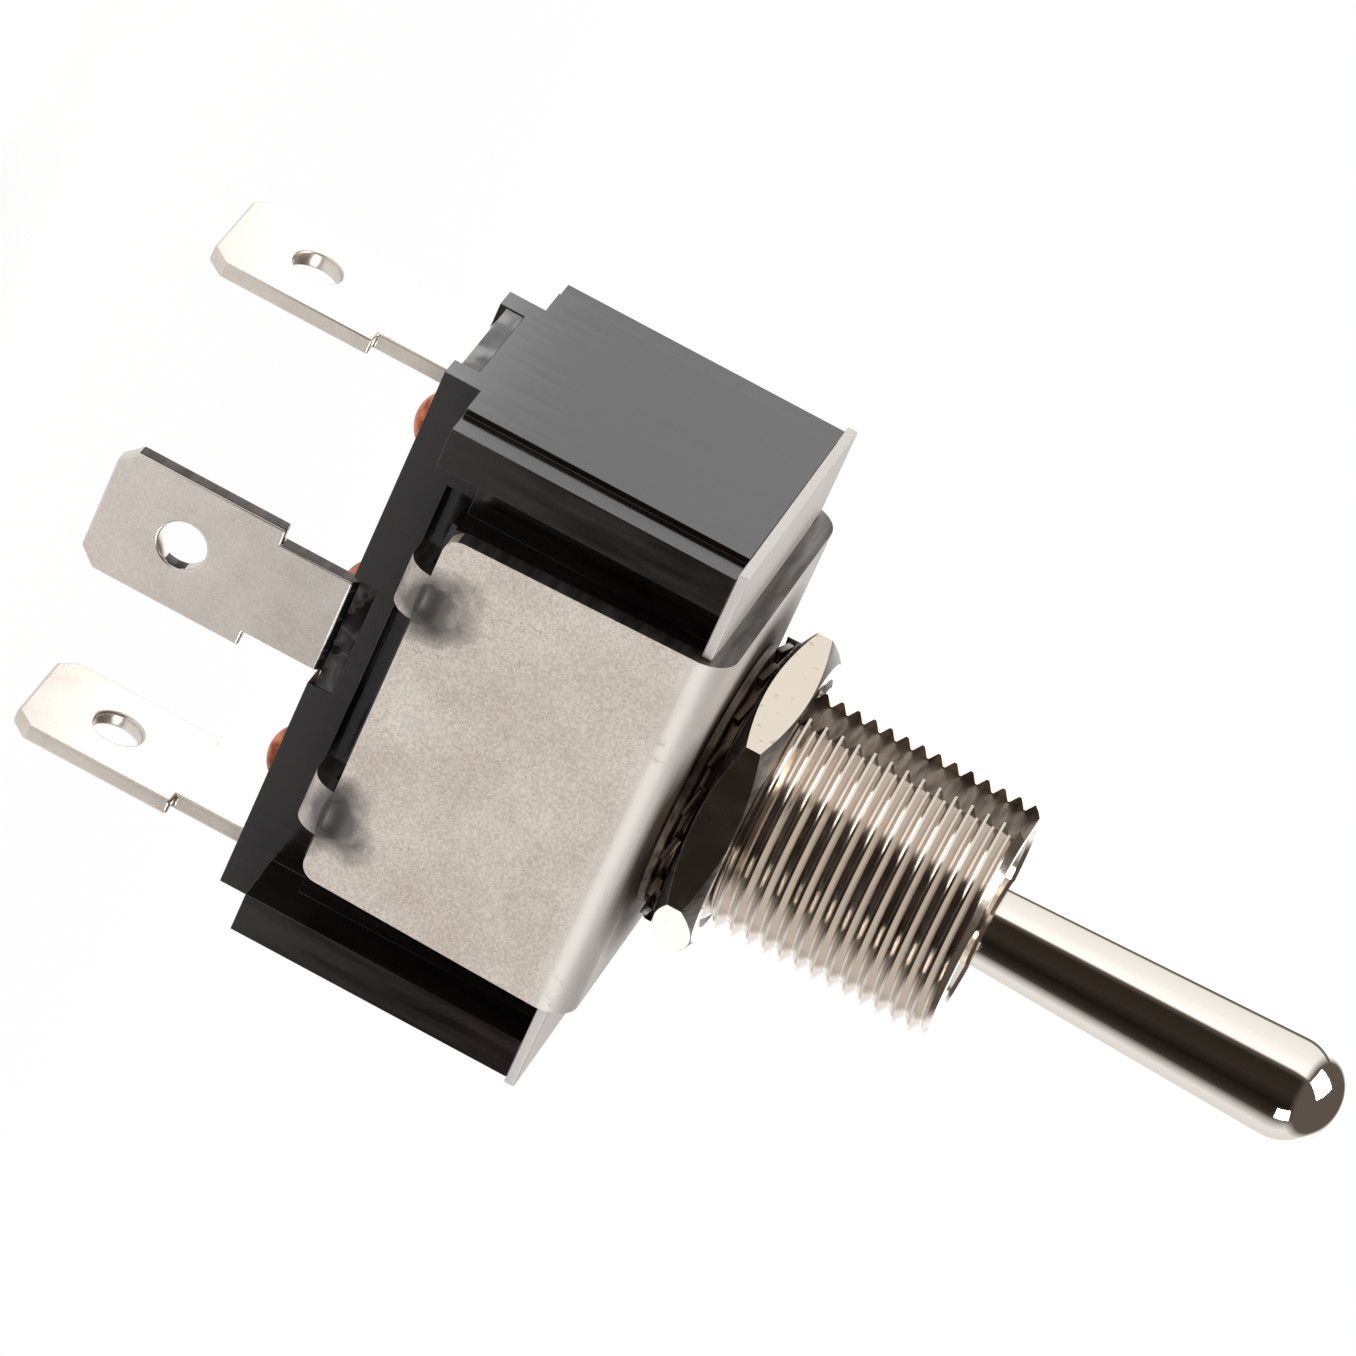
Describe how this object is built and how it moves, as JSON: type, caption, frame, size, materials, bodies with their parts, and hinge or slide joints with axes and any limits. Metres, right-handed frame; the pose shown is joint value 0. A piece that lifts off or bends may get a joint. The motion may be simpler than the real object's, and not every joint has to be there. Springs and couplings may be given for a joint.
{
  "type": "panel toggle switch",
  "caption": "Panel toggle switch: a bat lever in a threaded bushing with nut and lock washer tilts a rocker with contacts inside a moulded case held by a steel frame; blade terminals below.",
  "frame": {"origin": "on the bushing's axis, at the top face of the steel frame's web", "axes": "+Z along the lever's axis towards its tip, X along the row of terminals with the bushing's keyway on -X, Y across the case's thickness with the middle blade on the -Y side"},
  "size_m": [0.0286, 0.0162, 0.06],
  "materials": {
    "phenolic": "moulded black phenolic with a dull skin",
    "frame_steel": "zinc-plated sheet steel, lightly scratched",
    "cover_steel": "zinc-plated sheet steel",
    "plated_brass": "nickel-plated brass with a cut thread",
    "lever_plate": "bright nickel plate, polished",
    "pin_steel": "bright drawn steel",
    "brass_parts": "stamped brass",
    "silver": "silver contact faces",
    "tinned_brass": "tin-plated brass, satin",
    "copper": "dull copper",
    "nut_plate": "nickel-plated brass, worn",
    "washer_steel": "plated spring steel",
    "sealant": "glossy black epoxy"
  },
  "bodies": {
    "body": {"housing": "phenolic", "frame": "frame_steel", "cover_plate": "cover_steel", "bushing": "plated_brass", "lever_pin": "pin_steel", "fulcrum": "brass_parts", "common_terminal": "tinned_brass", "right_terminal": "tinned_brass", "left_terminal": "tinned_brass", "right_contact": "silver", "left_contact": "silver", "common_rivet": "copper", "right_rivet": "copper", "left_rivet": "copper", "terminal_sealant": "sealant"},
    "lever": {"lever": "lever_plate", "plunger_spring": "pin_steel"},
    "plunger": {"plunger": "brass_parts"},
    "rocker": {"rocker": "brass_parts", "rocker_contacts": "silver"},
    "washer": {"lock_washer": "washer_steel"},
    "nut": {"hex_nut": "nut_plate"}
  },
  "joints": [
    {"name": "lever_tilt", "type": "hinge", "parent": "body", "child": "lever", "pos_m": [0, 0, 0.0042], "axis": [0, 1, 0], "range_deg": [-12, 12]},
    {"name": "plunger_slide", "type": "slide", "parent": "lever", "child": "plunger", "axis": [0, 0, 1], "range_m": [0, 0.0008], "stiffness_N_per_m": 1000, "springref_m": -0.003, "deforming": ["plunger_spring"]},
    {"name": "rocker_tilt", "type": "hinge", "parent": "body", "child": "rocker", "pos_m": [0, 0, -0.00955], "axis": [0, 1, 0], "range_deg": [-8, 8]},
    {"name": "washer_travel", "type": "slide", "parent": "body", "child": "washer", "axis": [0, 0, 1], "range_m": [0, 0.00953]},
    {"name": "nut_turn", "type": "hinge", "parent": "washer", "child": "nut", "pos_m": [0, 0, 0.0021], "axis": [0, 0, 1], "range_deg": [0, 4320]}
  ],
  "couplings": [
    {"joint": "rocker_tilt", "follows": "lever_tilt", "ratio": -0.66666},
    {"joint": "nut_turn", "follows": "washer_travel", "rad_per_m": 7913.3}
  ]
}
